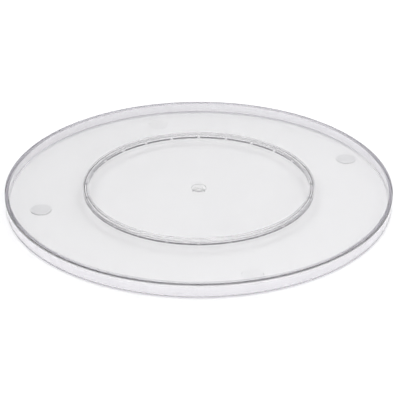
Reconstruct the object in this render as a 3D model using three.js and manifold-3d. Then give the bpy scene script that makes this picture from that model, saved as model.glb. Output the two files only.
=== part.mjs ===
// Lazy susan turntable. A clear round top with a hanging skirt turns on a ring of small balls.
// The balls roll in a cage, between a rail under the top and a rail on a clear base disc, and a
// headed pin at the centre holds the top and the base together.
// Millimetres, +Z up. The origin is on the table, under the centre of the turntable.
import * as THREE from 'three';
import * as BufferGeometryUtils from 'three/addons/utils/BufferGeometryUtils.js';
import Module from 'manifold-3d';

const wasm = await Module();
wasm.setup();

// Overall sizes.
const topDiameter = 300;
const overallHeight = 12;

// Turning top: a flat plate with a skirt that hangs round the base.
const plateThickness = 2.6;
const skirtWall = 2.6;
const tableGap = 1.0; // from the table to the skirt's lower edge
const topEdgeRadius = 0.5;
const skirtFillet = 1.2; // inside the corner of plate and skirt

// Base disc, inside the skirt.
const baseThickness = 1.8;
const baseToSkirtGap = 0.8;
const baseEdgeChamfer = 0.3;

// Stick-on feet. They are stuck on by hand, so each has a place of its own: its centre's distance in
// from the base's edge, and its direction.
const footHeight = 1.0;
const footDiameter = 16;
const footChamfer = 0.25;
const footPlaces = [
  { inset: 13.5, degrees: 25.1 },
  { inset: 19.5, degrees: 106 },
  { inset: 22.8, degrees: 193.7 },
  { inset: 17.5, degrees: 287 },
];

// Ball ring.
const ballDiameter = 2.78;
const ballCount = 24;
const trackRadius = 88.1;
const grooveDepth = 0.6;
const runningGap = 0.2; // from a ball to its grooves, and from the cage to the rails
const pocketGap = 0.16; // from a ball to its pocket in the cage
const cageWall = 0.35; // beside a pocket

// Pivot: a pin with a head under the base, and a flanged bush in the base's boss.
const pinDiameter = 3.0;
const pinHeadDiameter = 8;
const pinHeadThickness = 0.8;
const pinSocketDepth = 1.3;
const pivotGap = 0.3; // round the pin, its head and the bush
const bushWall = 1.2;
const bushFlangeDiameter = 11.8;
const bushFlangeThickness = 0.6;
const bossDiameter = 12;
const bossHeight = 1.2;
const recessDepth = 1.3; // for the pin's head, in the base's underside

// Facets round a full turn.
const discFacets = 72;
const smallFacets = 24;
const ballFacets = 8;

// Heights that follow from the sizes above.
const plateUnderside = overallHeight - plateThickness;
const baseTop = footHeight + baseThickness;
const bossTop = baseTop + bossHeight;
const recessRoof = footHeight + recessDepth;
const ballRadius = ballDiameter / 2;
const ballCentreHeight = (baseTop + plateUnderside) / 2;
const grooveRadius = ballRadius + runningGap;
const railFaceOffset = grooveRadius - grooveDepth; // from the balls' centres to each rail's face
const cageHalfHeight = railFaceOffset - runningGap;

// Radii that follow from the sizes above.
const topRadius = topDiameter / 2;
const skirtInnerRadius = topRadius - skirtWall;
const baseRadius = skirtInnerRadius - baseToSkirtGap;
const pocketRadius = ballRadius + pocketGap;
const railHalfWidth = pocketRadius + cageWall;
const railInnerRadius = trackRadius - railHalfWidth;
const railOuterRadius = trackRadius + railHalfWidth;
const pinRadius = pinDiameter / 2;
const socketRadius = pinRadius + pivotGap;
const bushRadius = socketRadius + bushWall;
const boreRadius = bushRadius + pivotGap;
const recessRadius = pinHeadDiameter / 2 + pivotGap;

const clearPlastic = { color: 0xe9edf0, roughness: 0.08, metalness: 0 };
const clearBase = { color: 0xe2e7ea, roughness: 0.1, metalness: 0 };
const clearCage = { color: 0xc4c8ce, roughness: 0.25, metalness: 0 };
const clearBall = { color: 0xf2f4f6, roughness: 0.05, metalness: 0 };
const naturalNylon = { color: 0xf0f0ec, roughness: 0.4, metalness: 0 };
const softSilicone = { color: 0xd8dadd, roughness: 0.6, metalness: 0 };

// Points [radius, height] along an arc, its two ends included.
function arc(centreRadius, centreHeight, radius, fromDegrees, toDegrees, steps) {
  return Array.from({ length: steps + 1 }, (_, index) => {
    const angle = THREE.MathUtils.degToRad(fromDegrees + ((toDegrees - fromDegrees) * index) / steps);
    return [centreRadius + radius * Math.cos(angle), centreHeight + radius * Math.sin(angle)];
  });
}

// A ball groove's points in a rail's face: side is +1 for the groove above the balls and -1 for the one
// below them. The points run from the groove's outer lip to its inner lip.
function groove(side) {
  const lip = THREE.MathUtils.radToDeg(Math.asin(railFaceOffset / grooveRadius));
  return arc(trackRadius, ballCentreHeight, grooveRadius, side * lip, side * (180 - lip), 3);
}

// A solid of revolution about Z, from an outline of [radius, height] points that runs anticlockwise.
function revolve(outline, facets) {
  const points = outline.map(([radius, height]) => new THREE.Vector2(radius, height));
  return new THREE.LatheGeometry(points, facets).rotateX(Math.PI / 2);
}

// The same outline closed on itself, for a ring.
function revolveRing(outline, facets) {
  return revolve([...outline, outline[0]], facets);
}

function toSolid(geometry) {
  const bare = geometry.clone();
  bare.deleteAttribute('normal');
  bare.deleteAttribute('uv');
  const merged = BufferGeometryUtils.mergeVertices(bare, 1e-4);
  return new wasm.Manifold(new wasm.Mesh({
    numProp: 3,
    vertProperties: new Float32Array(merged.attributes.position.array),
    triVerts: new Uint32Array(merged.index.array),
  }));
}

function toGeometry(solid) {
  const mesh = solid.getMesh();
  const geometry = new THREE.BufferGeometry();
  geometry.setAttribute('position', new THREE.BufferAttribute(mesh.vertProperties, 3));
  geometry.setIndex(new THREE.BufferAttribute(mesh.triVerts, 1));
  geometry.computeVertexNormals();
  return geometry;
}

function piece(name, geometry, look) {
  const mesh = new THREE.Mesh(geometry, new THREE.MeshStandardMaterial(look));
  mesh.name = name;
  return mesh;
}

function makeTop() {
  const railFace = ballCentreHeight + railFaceOffset;
  const outline = [
    [0, plateUnderside + pinSocketDepth],
    [socketRadius, plateUnderside + pinSocketDepth],
    [socketRadius, plateUnderside],
    [railInnerRadius, plateUnderside],
    [railInnerRadius, railFace],
    ...groove(1).reverse(),
    [railOuterRadius, railFace],
    [railOuterRadius, plateUnderside],
    ...arc(skirtInnerRadius - skirtFillet, plateUnderside - skirtFillet, skirtFillet, 90, 0, 2),
    [skirtInnerRadius, tableGap],
    [topRadius, tableGap],
    ...arc(topRadius - topEdgeRadius, overallHeight - topEdgeRadius, topEdgeRadius, 0, 90, 2),
    [0, overallHeight],
  ];
  return piece('turntable_top', revolve(outline, discFacets), clearPlastic);
}

function makeBase() {
  const railFace = ballCentreHeight - railFaceOffset;
  const outline = [
    [recessRadius, footHeight],
    [baseRadius - baseEdgeChamfer, footHeight],
    [baseRadius, footHeight + baseEdgeChamfer],
    [baseRadius, baseTop - baseEdgeChamfer],
    [baseRadius - baseEdgeChamfer, baseTop],
    [railOuterRadius, baseTop],
    [railOuterRadius, railFace],
    ...groove(-1),
    [railInnerRadius, railFace],
    [railInnerRadius, baseTop],
    [bossDiameter / 2, baseTop],
    [bossDiameter / 2, bossTop],
    [boreRadius, bossTop],
    [boreRadius, recessRoof],
    [recessRadius, recessRoof],
  ];
  return piece('base_disc', revolveRing(outline, discFacets), clearBase);
}

function onTrack(object, index) {
  const angle = (2 * Math.PI * index) / ballCount;
  object.position.set(trackRadius * Math.cos(angle), trackRadius * Math.sin(angle), ballCentreHeight);
  return object;
}

function makeCage() {
  const outline = [
    [railInnerRadius, ballCentreHeight - cageHalfHeight],
    [railOuterRadius, ballCentreHeight - cageHalfHeight],
    [railOuterRadius, ballCentreHeight + cageHalfHeight],
    [railInnerRadius, ballCentreHeight + cageHalfHeight],
  ];
  let cage = toSolid(revolveRing(outline, discFacets));
  const cutterHeight = 4 * cageHalfHeight;
  const cutter = new THREE.CylinderGeometry(pocketRadius, pocketRadius, cutterHeight, 12).rotateX(Math.PI / 2);
  for (let index = 0; index < ballCount; index += 1) {
    const { x, y, z } = onTrack(new THREE.Object3D(), index).position;
    cage = cage.subtract(toSolid(cutter.clone().translate(x, y, z)));
  }
  return piece('ball_cage', toGeometry(cage), clearCage);
}

function makeBall(index) {
  const sphere = new THREE.SphereGeometry(ballRadius, ballFacets, ballFacets - 2);
  const name = `ball_${String(index + 1).padStart(2, '0')}`;
  return onTrack(piece(name, sphere, clearBall), index);
}

function makeBush() {
  const outline = [
    [socketRadius, recessRoof],
    [bushRadius, recessRoof],
    [bushRadius, bossTop],
    [bushFlangeDiameter / 2, bossTop],
    [bushFlangeDiameter / 2, bossTop + bushFlangeThickness],
    [socketRadius, bossTop + bushFlangeThickness],
  ];
  return piece('pivot_bush', revolveRing(outline, smallFacets), naturalNylon);
}

// The head lies in the base's recess. The shank's end stops short of the socket's roof in the plate.
function makePin() {
  const headTop = recessRoof - pivotGap;
  const shankTop = plateUnderside + pinSocketDepth - pivotGap;
  const outline = [
    [0, headTop - pinHeadThickness],
    [pinHeadDiameter / 2, headTop - pinHeadThickness],
    [pinHeadDiameter / 2, headTop],
    [pinRadius, headTop],
    [pinRadius, shankTop],
    [0, shankTop],
  ];
  return piece('pivot_pin', revolve(outline, smallFacets), clearPlastic);
}

function makeFoot({ inset, degrees }, index) {
  const footRadius = footDiameter / 2;
  const outline = [
    [0, 0],
    [footRadius - footChamfer, 0],
    [footRadius, footChamfer],
    [footRadius, footHeight],
    [0, footHeight],
  ];
  const foot = piece(`foot_${index + 1}`, revolve(outline, smallFacets), softSilicone);
  const reach = baseRadius - inset;
  const angle = THREE.MathUtils.degToRad(degrees);
  foot.position.set(reach * Math.cos(angle), reach * Math.sin(angle), 0);
  return foot;
}

const turntable = new THREE.Group();
turntable.add(makeTop(), makeBase(), makeCage(), makeBush(), makePin());
for (let index = 0; index < ballCount; index += 1) {
  turntable.add(makeBall(index));
}
footPlaces.forEach((place, index) => turntable.add(makeFoot(place, index)));

export default turntable;
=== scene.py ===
"""Looks of the clear lazy susan turntable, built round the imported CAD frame. Metres, +Z up."""
import math

import bpy
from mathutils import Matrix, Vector


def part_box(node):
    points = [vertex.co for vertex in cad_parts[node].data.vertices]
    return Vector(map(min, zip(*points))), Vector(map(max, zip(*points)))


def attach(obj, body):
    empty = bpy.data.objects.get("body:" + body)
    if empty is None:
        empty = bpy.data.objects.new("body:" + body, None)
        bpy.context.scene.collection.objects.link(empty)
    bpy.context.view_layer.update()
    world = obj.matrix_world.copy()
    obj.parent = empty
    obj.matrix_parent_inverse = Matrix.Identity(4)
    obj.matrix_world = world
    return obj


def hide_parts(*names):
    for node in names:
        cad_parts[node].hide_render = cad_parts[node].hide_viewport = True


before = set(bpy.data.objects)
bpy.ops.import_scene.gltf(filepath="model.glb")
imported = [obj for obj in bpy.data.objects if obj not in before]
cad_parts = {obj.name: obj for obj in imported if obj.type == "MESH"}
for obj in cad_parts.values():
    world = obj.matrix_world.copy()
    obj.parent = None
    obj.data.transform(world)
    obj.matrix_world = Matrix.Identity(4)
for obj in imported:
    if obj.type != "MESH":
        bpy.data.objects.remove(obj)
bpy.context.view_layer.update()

MM = 0.001

# ---------------------------------------------------------------- sizes, from the frame and from the design
TOP_LOW, TOP_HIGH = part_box("turntable_top")
BASE_LOW, BASE_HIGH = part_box("base_disc")
CAGE_LOW, CAGE_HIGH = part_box("ball_cage")
BUSH_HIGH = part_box("pivot_bush")[1]
PIN_LOW, PIN_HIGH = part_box("pivot_pin")
BALL_NODES = sorted(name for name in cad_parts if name.startswith("ball_") and name != "ball_cage")
FOOT_NODES = sorted(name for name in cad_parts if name.startswith("foot_"))
MILKY_FEET = ("foot_1", "foot_3")

TOP_RADIUS = TOP_HIGH.x
PLATE_TOP = TOP_HIGH.z
SKIRT_FOOT = TOP_LOW.z
PLATE_THICKNESS = 2.6 * MM
SKIRT_WALL = 2.6 * MM
PLATE_UNDERSIDE = PLATE_TOP - PLATE_THICKNESS
SKIRT_INNER = TOP_RADIUS - SKIRT_WALL

BASE_RADIUS = BASE_HIGH.x
BASE_FOOT = BASE_LOW.z
BASE_THICKNESS = 1.8 * MM
BASE_TOP = BASE_FOOT + BASE_THICKNESS
BOSS_RADIUS = 6 * MM
BOSS_HEIGHT = 1.2 * MM
BOSS_TOP = BASE_TOP + BOSS_HEIGHT
RECESS_DEPTH = 1.3 * MM
RECESS_ROOF = BASE_FOOT + RECESS_DEPTH

RAIL_OUTER = CAGE_HIGH.x
TRACK_RADIUS = 88.1 * MM
RAIL_HALF = RAIL_OUTER - TRACK_RADIUS
RAIL_INNER = TRACK_RADIUS - RAIL_HALF
BALL_HEIGHT = (CAGE_LOW.z + CAGE_HIGH.z) / 2
BALL_RADIUS = 1.39 * MM
RUNNING_GAP = 0.2 * MM
GROOVE_DEPTH = 0.6 * MM
GROOVE_RADIUS = BALL_RADIUS + RUNNING_GAP
RAIL_OFFSET = GROOVE_RADIUS - GROOVE_DEPTH
POCKET_GAP = 0.16 * MM
POCKET_RADIUS = BALL_RADIUS + POCKET_GAP
PARTING_LINE = 0.015 * MM  # how far a ball's parting line stands out
CUTTER_HALF = 3 * MM  # half the height of a pocket's cutter, which passes right through the cage

PIN_RADIUS = 1.5 * MM
PIVOT_GAP = 0.3 * MM
BUSH_WALL = 1.2 * MM
PIN_HEAD_TOP = RECESS_ROOF - PIVOT_GAP
RECESS_RADIUS = PIN_HIGH.x + PIVOT_GAP
SOCKET_RADIUS = PIN_RADIUS + PIVOT_GAP
BUSH_RADIUS = SOCKET_RADIUS + BUSH_WALL
BORE_RADIUS = BUSH_RADIUS + PIVOT_GAP
TOUCH = 0.02 * MM  # between faces that meet, so that no two clear faces coincide

# Radii of rounded edges.
CRISP = 0.05 * MM
FINE = 0.08 * MM
SMALL = 0.1 * MM
MOULDED = 0.15 * MM
SOFT = 0.2 * MM
SKIRT_EDGE = 0.35 * MM
TOP_EDGE = 0.45 * MM
SKIRT_FILLET = 0.5 * MM
FOOT_EDGE = 0.35 * MM

# Facets round a full turn.
TOP_FACETS = 720
RING_FACETS = 480
SMALL_FACETS = 96
PIN_FACETS = 64
BALL_FACETS = 32
BALL_STEPS = 24  # from a ball's foot to its top
POCKET_FACETS = 32
GROOVE_STEPS = 12  # from one lip to the other
FILLET_STEPS = 5  # in one rounded corner
FILLET_SHARE = 0.45  # the most that a rounded corner takes of the shorter line beside it
ON_AXIS = 1e-9  # a point nearer to the axis than this is on it
SHARP_ANGLE = 32  # degrees between faces, above which an edge isn't smoothed

FLOOR_HALF = 8
FLOOR_GAP = 0.02 * MM  # under the feet
FLOOR_TONE = 0.93

# ---------------------------------------------------------------- camera
CAMERA_DISTANCE = 1.013
CAMERA_ELEVATION = math.radians(28.59)
CAMERA_LENS = 116.4
CAMERA_SENSOR = 36
CAMERA_SIDE = 0.96 * MM
CAMERA_LIFT = -5.27 * MM


def make_camera():
    data = bpy.data.cameras.new("camera")
    data.lens = CAMERA_LENS
    data.sensor_width = CAMERA_SENSOR
    camera = bpy.data.objects.new("camera", data)
    bpy.context.scene.collection.objects.link(camera)
    ahead = Vector((0, math.cos(CAMERA_ELEVATION), -math.sin(CAMERA_ELEVATION)))
    up = Vector((0, math.sin(CAMERA_ELEVATION), math.cos(CAMERA_ELEVATION)))
    target = Vector((0, 0, SKIRT_FOOT))
    camera.location = target - ahead * CAMERA_DISTANCE + up * CAMERA_LIFT + Vector((CAMERA_SIDE, 0, 0))
    camera.rotation_euler = (math.pi / 2 - CAMERA_ELEVATION, 0, 0)
    bpy.context.scene.camera = camera


# ---------------------------------------------------------------- mesh helpers
def fillet(before, corner, after, radius, steps):
    """Points of the arc that rounds a corner of an outline."""
    a, c, b = Vector(before), Vector(corner), Vector(after)
    to_a, to_b = (a - c), (b - c)
    limit = FILLET_SHARE * min(to_a.length, to_b.length)
    to_a.normalize()
    to_b.normalize()
    half = to_a.angle(to_b) / 2
    reach = min(radius / math.tan(half), limit)
    true_radius = reach * math.tan(half)
    centre = c + (to_a + to_b).normalized() * (true_radius / math.sin(half))
    start, end = c + to_a * reach, c + to_b * reach
    first, last = start - centre, end - centre
    turn = first.angle_signed(last)
    points = []
    for index in range(steps + 1):
        angle = -turn * index / steps
        spun = Vector((
            first.x * math.cos(angle) - first.y * math.sin(angle),
            first.x * math.sin(angle) + first.y * math.cos(angle),
        ))
        points.append(tuple(centre + spun))
    return points


def rounded(outline, closed):
    """An outline of (radius, height, fillet) with each filleted corner turned into an arc."""
    points = []
    count = len(outline)
    for index, (radius, height, round_by) in enumerate(outline):
        at_end = not closed and index in (0, count - 1)
        if round_by <= 0 or at_end:
            points.append((radius, height))
            continue
        before = outline[index - 1][:2]
        after = outline[(index + 1) % count][:2]
        points.extend(fillet(before, (radius, height), after, round_by, FILLET_STEPS))
    return points


def arc(centre_radius, centre_height, radius, start, end, steps):
    """Outline points, with no fillet, from one angle in degrees to another."""
    points = []
    for index in range(steps + 1):
        angle = math.radians(start + (end - start) * index / steps)
        points.append((centre_radius + radius * math.cos(angle), centre_height + radius * math.sin(angle), 0))
    return points


def revolve(name, points, closed, facets):
    """A mesh object: (radius, height) points turned about Z. The points run anticlockwise."""
    vertices, faces, rings = [], [], []
    for radius, height in points:
        if radius < ON_AXIS:
            rings.append([len(vertices)])
            vertices.append((0, 0, height))
            continue
        rings.append(list(range(len(vertices), len(vertices) + facets)))
        for step in range(facets):
            angle = 2 * math.pi * step / facets
            vertices.append((radius * math.cos(angle), radius * math.sin(angle), height))
    pairs = list(zip(rings, rings[1:]))
    if closed:
        pairs.append((rings[-1], rings[0]))
    for lower, upper in pairs:
        for step in range(facets):
            after = (step + 1) % facets
            if len(lower) == 1 and len(upper) == 1:
                continue
            if len(lower) == 1:
                faces.append((lower[0], upper[after], upper[step]))
            elif len(upper) == 1:
                faces.append((lower[step], lower[after], upper[0]))
            else:
                faces.append((lower[step], lower[after], upper[after], upper[step]))
    mesh = bpy.data.meshes.new(name)
    mesh.from_pydata(vertices, [], faces)
    mesh.validate()
    return finish_mesh(name, mesh)


def finish_mesh(name, mesh):
    """An object of the mesh, smooth but for its sharp edges."""
    mesh.polygons.foreach_set("use_smooth", [True] * len(mesh.polygons))
    mesh.set_sharp_from_angle(angle=math.radians(SHARP_ANGLE))
    piece = bpy.data.objects.new(name, mesh)
    bpy.context.scene.collection.objects.link(piece)
    weights = piece.modifiers.new("flat_faces_stay_flat", "WEIGHTED_NORMAL")
    weights.keep_sharp = True
    weights.weight = 100
    return piece


def groove(side):
    """The ball groove in a rail's face: side is 1 above the balls and -1 below them."""
    lip = math.degrees(math.asin(RAIL_OFFSET / GROOVE_RADIUS))
    return arc(TRACK_RADIUS, BALL_HEIGHT, GROOVE_RADIUS, side * lip, side * (180 - lip), GROOVE_STEPS)


# ---------------------------------------------------------------- materials
FAR = 1.0
ALL_HEIGHTS = (-FAR, FAR)
BLUR = 0.02 * MM  # half the width over which a band fades out
EDGE = 0.1 * MM  # how far a band reaches past the faces that it holds
STAIN = 0.02  # how much darker a smudge is
SWELL_HEIGHT = 3e-6
SCRATCH_DEPTH = 1e-6
MILK_DEPTH = 1 * MM
UPRIGHT_RANGE = (0.2, 0.5)  # of the squared upward part of a face's normal, from upright to level
SMUDGE_RANGE = (0.42, 0.72)  # of the noise, from clean to smudged
SCRATCH_RANGE = (0.66, 0.76)  # of the noise, from beside a scratch to on it
SCRATCH_STRETCH = (22, 0.7, 8)
SCRATCH_TURN = (0.2, 0.1, 0.7)  # radians
SCRATCH_SHARE = 0.6  # of the smudged roughness, added on a scratch
RAIL_SHADE_PAINTED_TO = 8.1 * MM  # the upper rail's outer face gets painted shade below this height
PAINTED_FOOT_SHADE_TOP = SKIRT_FOOT + 0.4 * MM  # painted shade makes the skirt's walls darkest below this height

# The tones and refractive indices are set for the looks. They are not material data: clear
# acrylic is 1.49, and the clear pieces under the plate have a far lower one so that they show faintly.
TOP_TONE = (0.942, 0.942, 0.942)
# Painted shade, with a faint lilac of the acrylic: the skirt's upright walls are coloured darker than the
# plate.
WALL_PAINTED_SHADE = (0.87, 0.86, 0.885)
# Painted shade: a dark line along the bottom of the skirt's walls.
FOOT_LINE_PAINTED_SHADE = (0.45, 0.44, 0.46)
# Painted shade: the level faces round the skirt, its foot and the plate's outer rim, are coloured darker.
SKIRT_END_PAINTED_SHADE = (0.62, 0.61, 0.64)
# Painted shade: a dark band on the upper rail's outer face, for the dark line of the ring.
RAIL_PAINTED_SHADE = (0.55, 0.54, 0.55)
TOP_ABSORBED = ((0.70, 0.68, 0.74), 14)
BASE_TONE = (0.99, 0.99, 0.99)
CAGE_TONE = (0.93, 0.925, 0.93)
# Painted shade: the cage's outer face is coloured dark, for the dark band of the ring.
CAGE_SIDE_PAINTED_SHADE = (0.28, 0.27, 0.28)
BALL_TONE = (0.95, 0.95, 0.96)
BUSH_TONE = (0.99, 0.99, 0.985)
# Painted shade: a near-black band round the bush's flange, which draws its dark outline.
BUSH_RIM_PAINTED_SHADE = (0.12, 0.12, 0.12)
FOOT_TONE = (0.81, 0.81, 0.815)
CLEAR_FOOT_TONE = (0.99, 0.99, 0.99)


def add(tree, kind, links=(), **values):
    """A shader node with its inputs set from values and joined to other nodes' outputs."""
    node = tree.nodes.new(kind)
    for key, value in values.items():
        node.inputs[key.replace("_", " ")].default_value = value
    for socket, output in links:
        tree.links.new(output, node.inputs[socket])
    return node


def spread(tree, source, low, high, out_low, out_high):
    """The value, with low to high brought to out_low to out_high and held at the ends."""
    node = add(tree, "ShaderNodeMapRange", [("Value", source)])
    for key, value in (("From Min", low), ("From Max", high), ("To Min", out_low), ("To Max", out_high)):
        node.inputs[key].default_value = value
    return node.outputs["Result"]


def multiply(tree, first, second):
    node = tree.nodes.new("ShaderNodeMath")
    node.operation = "MULTIPLY"
    tree.links.new(first, node.inputs[0])
    tree.links.new(second, node.inputs[1])
    return node.outputs[0]


def plus(tree, base, value, factor):
    """The base with factor times the value added to it."""
    node = add(tree, "ShaderNodeMath")
    node.operation = "MULTIPLY_ADD"
    tree.links.new(value, node.inputs[0])
    node.inputs[1].default_value = factor
    tree.links.new(base, node.inputs[2])
    return node.outputs[0]


def upright_faces(tree):
    """1 on faces that stand upright and 0 on level ones."""
    normal = tree.nodes.new("ShaderNodeNewGeometry").outputs["Normal"]
    upward = add(tree, "ShaderNodeSeparateXYZ", [(0, normal)]).outputs["Z"]
    return spread(tree, multiply(tree, upward, upward), *UPRIGHT_RANGE, 1, 0)


def between(tree, value, low, high):
    """1 where the value lies between low and high and 0 elsewhere."""
    above = spread(tree, value, low - BLUR, low + BLUR, 0, 1)
    return multiply(tree, above, spread(tree, value, high - BLUR, high + BLUR, 1, 0))


def height_of(tree, place):
    return add(tree, "ShaderNodeSeparateXYZ", [(0, place)]).outputs["Z"]


def reach_of(tree, place):
    """Distance from the centre line."""
    level = add(tree, "ShaderNodeVectorMath", [(0, place)])
    level.operation = "MULTIPLY"
    level.inputs[1].default_value = (1, 1, 0)
    reach = add(tree, "ShaderNodeVectorMath", [(0, level.outputs[0])])
    reach.operation = "LENGTH"
    return reach.outputs["Value"]


def flipped(tree, value):
    return spread(tree, value, 0, 1, 1, 0)


def blend(tree, factor, first, second):
    """A colour that goes from first to second; either may be a fixed colour or another node's output."""
    node = tree.nodes.new("ShaderNodeMix")
    node.data_type = "RGBA"
    tree.links.new(factor, node.inputs["Factor"])
    for socket, value in (("A", first), ("B", second)):
        if isinstance(value, tuple):
            node.inputs[socket].default_value = (*value, 1)
        else:
            tree.links.new(value, node.inputs[socket])
    return node.outputs["Result"]


def scratches_of(tree, place, patch):
    """1 on fine scratches that run one way and 0 beside them."""
    lines = tree.nodes.new("ShaderNodeMapping")
    lines.inputs["Rotation"].default_value = SCRATCH_TURN
    lines.inputs["Scale"].default_value = tuple(stretch * patch for stretch in SCRATCH_STRETCH)
    tree.links.new(place, lines.inputs["Vector"])
    noise = add(tree, "ShaderNodeTexNoise", [("Vector", lines.outputs["Vector"])], Scale=1, Detail=3)
    return spread(tree, noise.outputs["Fac"], *SCRATCH_RANGE, 0, 1)


def roughness_of(tree, place, smudges, scored, roughness, matt_above):
    smudged = spread(tree, smudges, *SMUDGE_RANGE, *roughness)
    wear = plus(tree, smudged, scored, SCRATCH_SHARE * roughness[1])
    if matt_above:
        height, added = matt_above
        upper = between(tree, height_of(tree, place), height, FAR)
        wear = plus(tree, wear, multiply(tree, upper, upright_faces(tree)), added)
    return wear


def tint_of(tree, place, smudges, colour, painted_shade_bands):
    stained = tuple(value * (1 - STAIN) for value in colour)
    tint = blend(tree, smudges, colour, stained)
    # Each band paints shade: it lays a darker colour on the chosen faces, where the clear plastic looks dark.
    for radii, heights, upright, painted_shade in painted_shade_bands:
        in_radii = between(tree, reach_of(tree, place), *radii)
        in_heights = between(tree, height_of(tree, place), *heights)
        faces = upright_faces(tree) if upright else flipped(tree, upright_faces(tree))
        where = multiply(tree, multiply(tree, in_radii, in_heights), faces)
        tint = blend(tree, where, tint, painted_shade)
    return tint


def relief_of(tree, place, scored, patch):
    """The slow swell of a moulded face, with the scratches cut into it."""
    swell = add(tree, "ShaderNodeTexNoise", [("Vector", place)], Scale=0.8 * patch, Detail=1)
    swollen = [("Height", swell.outputs["Fac"])]
    moulded = add(tree, "ShaderNodeBump", swollen, Strength=1, Distance=SWELL_HEIGHT)
    scuffed = [("Height", scored), ("Normal", moulded.outputs["Normal"])]
    return add(tree, "ShaderNodeBump", scuffed, Strength=1, Distance=-SCRATCH_DEPTH).outputs["Normal"]


def plastic(name, colour, ior, roughness, patch=45, clear=1.0, milk=0.0,
            matt_above=None, painted_shade_bands=(), absorbed=None):
    """A moulded plastic.

    roughness is (clean, smudged), and patch is how fine the smudges and scratches are. clear is the
    share of light that passes through, and milk the share that is scattered inside. matt_above is
    (height, roughness), added on upright faces above the height. Each band is (radii, heights,
    true for its upright faces or false for its level ones, colour), and its colour is painted shade laid
    on those faces. absorbed is (colour, density per metre) of the plastic's body, which darkens a long
    way through it more than a short one.
    """
    material = bpy.data.materials.new(name)
    material.use_nodes = True
    tree = material.node_tree
    shader = tree.nodes["Principled BSDF"]
    shader.inputs["Transmission Weight"].default_value = clear
    shader.inputs["IOR"].default_value = ior
    shader.inputs["Subsurface Weight"].default_value = milk
    shader.inputs["Subsurface Scale"].default_value = MILK_DEPTH
    shader.inputs["Subsurface Radius"].default_value = (1, 1, 1)
    if absorbed:
        body = add(tree, "ShaderNodeVolumeAbsorption", Color=(*absorbed[0], 1), Density=absorbed[1])
        tree.links.new(body.outputs["Volume"], tree.nodes["Material Output"].inputs["Volume"])
    place = tree.nodes.new("ShaderNodeTexCoord").outputs["Object"]
    smudges = add(tree, "ShaderNodeTexNoise", [("Vector", place)], Scale=patch, Detail=4, Roughness=0.55)
    smudges = smudges.outputs["Fac"]
    scored = scratches_of(tree, place, patch)
    for socket, value in (
        ("Roughness", roughness_of(tree, place, smudges, scored, roughness, matt_above)),
        ("Base Color", tint_of(tree, place, smudges, colour, painted_shade_bands)),
        ("Normal", relief_of(tree, place, scored, patch)),
    ):
        tree.links.new(value, shader.inputs[socket])
    return material


# ---------------------------------------------------------------- pieces
def dress(piece, material, body, slot, *nodes):
    piece.data.materials.append(material)
    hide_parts(*nodes)
    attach(piece, body)


def make_top(material):
    """The pin's socket is left out, because it would show through the clear plate."""
    rail_face = BALL_HEIGHT + RAIL_OFFSET
    outline = [
        (0, PLATE_UNDERSIDE, 0),
        (RAIL_INNER, PLATE_UNDERSIDE, CRISP),
        (RAIL_INNER, rail_face, FINE),
        *reversed(groove(1)),
        (RAIL_OUTER, rail_face, FINE),
        (RAIL_OUTER, PLATE_UNDERSIDE, CRISP),
        (SKIRT_INNER, PLATE_UNDERSIDE, SKIRT_FILLET),
        (SKIRT_INNER, SKIRT_FOOT, SKIRT_EDGE),
        (TOP_RADIUS, SKIRT_FOOT, SKIRT_EDGE),
        (TOP_RADIUS, PLATE_TOP, TOP_EDGE),
        (0, PLATE_TOP, 0),
    ]
    piece = revolve("top_plate_and_skirt", rounded(outline, False), False, TOP_FACETS)
    dress(piece, material, "turntable", "clear_top", "turntable_top")


def make_base(material):
    rail_face = BALL_HEIGHT - RAIL_OFFSET
    outline = [
        (RECESS_RADIUS, BASE_FOOT, SOFT),
        (BASE_RADIUS, BASE_FOOT, FINE),
        (BASE_RADIUS, BASE_TOP, FINE),
        (RAIL_OUTER, BASE_TOP, CRISP),
        (RAIL_OUTER, rail_face, FINE),
        *groove(-1),
        (RAIL_INNER, rail_face, FINE),
        (RAIL_INNER, BASE_TOP, CRISP),
        (BOSS_RADIUS, BASE_TOP, CRISP),
        (BOSS_RADIUS, BOSS_TOP, FINE),
        (BORE_RADIUS, BOSS_TOP, MOULDED),
        (BORE_RADIUS, RECESS_ROOF, MOULDED),
        (RECESS_RADIUS, RECESS_ROOF, SOFT),
    ]
    piece = revolve("clear_base", rounded(outline, True), True, RING_FACETS)
    dress(piece, material, "base", "clear_base", "base_disc")


def make_cage(material):
    half = CAGE_HIGH.z - BALL_HEIGHT
    outline = [
        (RAIL_INNER, BALL_HEIGHT - half, SOFT),
        (RAIL_OUTER, BALL_HEIGHT - half, SOFT),
        (RAIL_OUTER, BALL_HEIGHT + half, SOFT),
        (RAIL_INNER, BALL_HEIGHT + half, SOFT),
    ]
    ring = revolve("cage_ring", rounded(outline, True), True, RING_FACETS)
    dress(bored(ring, pocket_cutters()), material, "ball_ring", "cage_plastic", "ball_cage")


def pocket_cutters():
    """Upright cylinders, one at each ball's place."""
    vertices, faces = [], []
    turns = [2 * math.pi * step / POCKET_FACETS for step in range(POCKET_FACETS)]
    for name in BALL_NODES:
        low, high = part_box(name)
        x, y = (low.x + high.x) / 2, (low.y + high.y) / 2
        first = len(vertices)
        above = first + POCKET_FACETS
        for z in (BALL_HEIGHT - CUTTER_HALF, BALL_HEIGHT + CUTTER_HALF):
            for turn in turns:
                vertices.append((x + POCKET_RADIUS * math.cos(turn), y + POCKET_RADIUS * math.sin(turn), z))
        faces.append(tuple(reversed(range(first, above))))
        faces.append(tuple(range(above, above + POCKET_FACETS)))
        for step in range(POCKET_FACETS):
            after = (step + 1) % POCKET_FACETS
            faces.append((first + step, first + after, above + after, above + step))
    mesh = bpy.data.meshes.new("pocket_cutters")
    mesh.from_pydata(vertices, [], faces)
    cutters = bpy.data.objects.new("pocket_cutters", mesh)
    bpy.context.scene.collection.objects.link(cutters)
    return cutters


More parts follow.
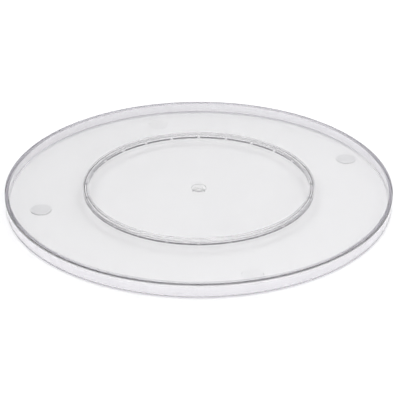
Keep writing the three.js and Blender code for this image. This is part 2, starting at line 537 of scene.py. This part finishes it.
def bored(piece, cutters):
    """The piece with the cutters taken out of it for good."""
    piece.modifiers.clear()
    cut = piece.modifiers.new("pockets", "BOOLEAN")
    cut.operation = "DIFFERENCE"
    cut.solver = "EXACT"
    cut.object = cutters
    ready = piece.evaluated_get(bpy.context.evaluated_depsgraph_get())
    mesh = bpy.data.meshes.new_from_object(ready)
    name = piece.name
    for old in (piece, cutters):
        bpy.data.objects.remove(old)
    return finish_mesh(name, mesh)


def ball_profile():
    """Half a ball's outline, with a parting line round its middle."""
    smooth = BALL_RADIUS - PARTING_LINE
    profile = [(radius, height) for radius, height, _ in arc(0, 0, smooth, -90, 90, BALL_STEPS)]
    profile[0] = (0, -smooth)
    profile[-1] = (0, smooth)
    middle = BALL_STEPS // 2
    profile[middle:middle + 1] = [(smooth, -PARTING_LINE), (BALL_RADIUS, 0), (smooth, PARTING_LINE)]
    return profile


def make_balls(material):
    for name in BALL_NODES:
        low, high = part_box(name)
        centre = (low + high) / 2
        piece = revolve(f"clear_{name}", ball_profile(), False, BALL_FACETS)
        piece.location = (centre.x, centre.y, BALL_HEIGHT)
        dress(piece, material, "ball_ring", "clear_ball", name)


def make_bush(material):
    outline = [
        (SOCKET_RADIUS, RECESS_ROOF, SMALL),
        (BUSH_RADIUS, RECESS_ROOF, SMALL),
        (BUSH_RADIUS, BOSS_TOP + TOUCH, 0),
        (BUSH_HIGH.x, BOSS_TOP + TOUCH, SMALL),
        (BUSH_HIGH.x, BUSH_HIGH.z, SOFT),
        (SOCKET_RADIUS, BUSH_HIGH.z, SOFT),
    ]
    piece = revolve("bush", rounded(outline, True), True, SMALL_FACETS)
    dress(piece, material, "base", "bush_nylon", "pivot_bush")


def make_pin(material):
    outline = [
        (0, PIN_LOW.z, 0),
        (PIN_HIGH.x, PIN_LOW.z, SOFT),
        (PIN_HIGH.x, PIN_HEAD_TOP, SOFT),
        (PIN_RADIUS, PIN_HEAD_TOP, MOULDED),
        (PIN_RADIUS, PLATE_UNDERSIDE - TOUCH, CRISP),
        (0, PLATE_UNDERSIDE - TOUCH, 0),
    ]
    piece = revolve("pin", rounded(outline, False), False, PIN_FACETS)
    dress(piece, material, "turntable", "clear_pin", "pivot_pin")


def make_feet(milky, clear):
    """Feet 1 and 3 show through the plate as grey spots. Feet 2 and 4 are clear and hardly show."""
    for name in FOOT_NODES:
        material = milky if name in MILKY_FEET else clear
        low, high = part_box(name)
        centre = (low + high) / 2
        radius = (high.x - low.x) / 2
        outline = [
            (0, low.z, 0),
            (radius, low.z, FOOT_EDGE),
            (radius, high.z - TOUCH, SMALL),
            (0, high.z - TOUCH, 0),
        ]
        piece = revolve(f"clear_{name}", rounded(outline, False), False, SMALL_FACETS)
        piece.location = (centre.x, centre.y, 0)
        dress(piece, material, "base", "foot_silicone", name)


# ---------------------------------------------------------------- stage
def make_stage():
    mesh = bpy.data.meshes.new("floor")
    signs = ((-1, -1), (1, -1), (1, 1), (-1, 1))
    corners = [(FLOOR_HALF * x, FLOOR_HALF * y, -FLOOR_GAP) for x, y in signs]
    mesh.from_pydata(corners, [], [(0, 1, 2, 3)])
    floor = bpy.data.objects.new("floor", mesh)
    bpy.context.scene.collection.objects.link(floor)
    material = bpy.data.materials.new("floor")
    material.use_nodes = True
    shader = material.node_tree.nodes["Principled BSDF"]
    shader.inputs["Base Color"].default_value = (FLOOR_TONE, FLOOR_TONE, FLOOR_TONE, 1)
    shader.inputs["Roughness"].default_value = 1
    shader.inputs["Specular IOR Level"].default_value = 0
    mesh.materials.append(material)


# (sine of the angle above the horizon, colour)
SKY = (
    (0.00, (0.66, 0.66, 0.67)),
    (0.14, (0.46, 0.46, 0.47)),
    (0.24, (0.29, 0.29, 0.30)),
    (0.50, (0.24, 0.24, 0.25)),
    (0.62, (0.38, 0.38, 0.39)),
    (0.76, (1.02, 1.02, 1.02)),
    (1.00, (1.12, 1.12, 1.12)),
)
SKY_STRENGTH = 1.72
SIDE_REACH = 0.25  # left and right of the middle, where the gain reaches its ends
SIDE_GAIN = (0.6, 1.4)  # on the left and on the right of the low sky
LOW_SKY = (0.55, 0.7)  # where the low sky fades out, as a sine too


def grey(tree, value):
    node = tree.nodes.new("ShaderNodeCombineColor")
    for socket in ("Red", "Green", "Blue"):
        tree.links.new(value, node.inputs[socket])
    return node.outputs["Color"]


def sky_ramp(tree, height):
    ramp = add(tree, "ShaderNodeValToRGB", [("Fac", height)])
    elements = ramp.color_ramp.elements
    for _ in range(len(SKY) - 2):
        elements.new(0.5)
    for element, (position, colour) in zip(elements, SKY):
        element.position = position
        element.color = (*colour, 1)
    return ramp.outputs["Color"]


def make_light():
    """A soft studio dome: bright overhead, dim lower down and paler again at the horizon.

    Its lower part is dimmer on the left than on the right.
    """
    world = bpy.data.worlds.new("studio")
    bpy.context.scene.world = world
    world.use_nodes = True
    tree = world.node_tree
    background = tree.nodes["Background"]
    background.inputs["Strength"].default_value = SKY_STRENGTH
    place = tree.nodes.new("ShaderNodeTexCoord").outputs["Generated"]
    split = add(tree, "ShaderNodeSeparateXYZ", [(0, place)]).outputs
    sideways = spread(tree, split["X"], -SIDE_REACH, SIDE_REACH, *SIDE_GAIN)
    low = spread(tree, split["Z"], *LOW_SKY, 1, 0)
    lit = tree.nodes.new("ShaderNodeMix")
    lit.data_type = "RGBA"
    lit.blend_type = "MULTIPLY"
    lit.inputs["Factor"].default_value = 1
    tree.links.new(sky_ramp(tree, split["Z"]), lit.inputs["A"])
    tree.links.new(blend(tree, low, (1, 1, 1), grey(tree, sideways)), lit.inputs["B"])
    tree.links.new(lit.outputs["Result"], background.inputs["Color"])


def set_render_look():
    scene = bpy.context.scene
    scene.view_settings.view_transform = "Standard"
    scene.cycles.max_bounces = 32
    scene.cycles.blur_glossy = 0
    scene.cycles.transmission_bounces = 32
    scene.cycles.glossy_bounces = 16
    scene.cycles.transparent_max_bounces = 32


def top_plastic():
    skirt = (SKIRT_INNER - EDGE, FAR)
    # All four bands are painted shade: on the skirt's level faces, its walls, a line at its foot and the
    # upper rail's outer face.
    painted_shade_bands = (
        (skirt, ALL_HEIGHTS, False, SKIRT_END_PAINTED_SHADE),
        (skirt, (0, PLATE_UNDERSIDE), True, WALL_PAINTED_SHADE),
        (skirt, (0, PAINTED_FOOT_SHADE_TOP), True, FOOT_LINE_PAINTED_SHADE),
        ((RAIL_OUTER - EDGE, RAIL_OUTER + EDGE), (0, RAIL_SHADE_PAINTED_TO), True, RAIL_PAINTED_SHADE),
    )
    return plastic(
        "clear_top", TOP_TONE, ior=1.49, roughness=(0.0, 0.02),
        matt_above=(PLATE_UNDERSIDE, 0.45), painted_shade_bands=painted_shade_bands, absorbed=TOP_ABSORBED,
    )


def cage_plastic():
    # The band paints shade on the cage's outer face.
    painted_shade_bands = (((RAIL_OUTER - EDGE, FAR), ALL_HEIGHTS, True, CAGE_SIDE_PAINTED_SHADE),)
    return plastic("cage_plastic", CAGE_TONE, ior=1.2, roughness=(0.02, 0.08), patch=300, painted_shade_bands=painted_shade_bands)


def bush_plastic():
    # The band paints shade round the flange's rim.
    painted_shade_bands = (((BUSH_HIGH.x - EDGE, FAR), ALL_HEIGHTS, True, BUSH_RIM_PAINTED_SHADE),)
    return plastic("bush_nylon", BUSH_TONE, ior=1.12, roughness=(0.0, 0.04), patch=400, painted_shade_bands=painted_shade_bands)


make_camera()
set_render_look()
make_stage()
make_light()
make_top(top_plastic())
make_base(plastic("clear_base", BASE_TONE, ior=1.08, roughness=(0.0, 0.03)))
make_cage(cage_plastic())
make_balls(plastic("clear_ball", BALL_TONE, ior=1.2, roughness=(0.0, 0.05), patch=900))
make_bush(bush_plastic())
make_pin(plastic("clear_pin", BASE_TONE, ior=1.03, roughness=(0.0, 0.03), patch=400))
make_feet(
    plastic("foot_silicone", FOOT_TONE, ior=1.41, roughness=(0.5, 0.65), patch=200, clear=0.0, milk=0.3),
    plastic("foot_silicone_clear", CLEAR_FOOT_TONE, ior=1.05, roughness=(0.0, 0.05), patch=200),
)
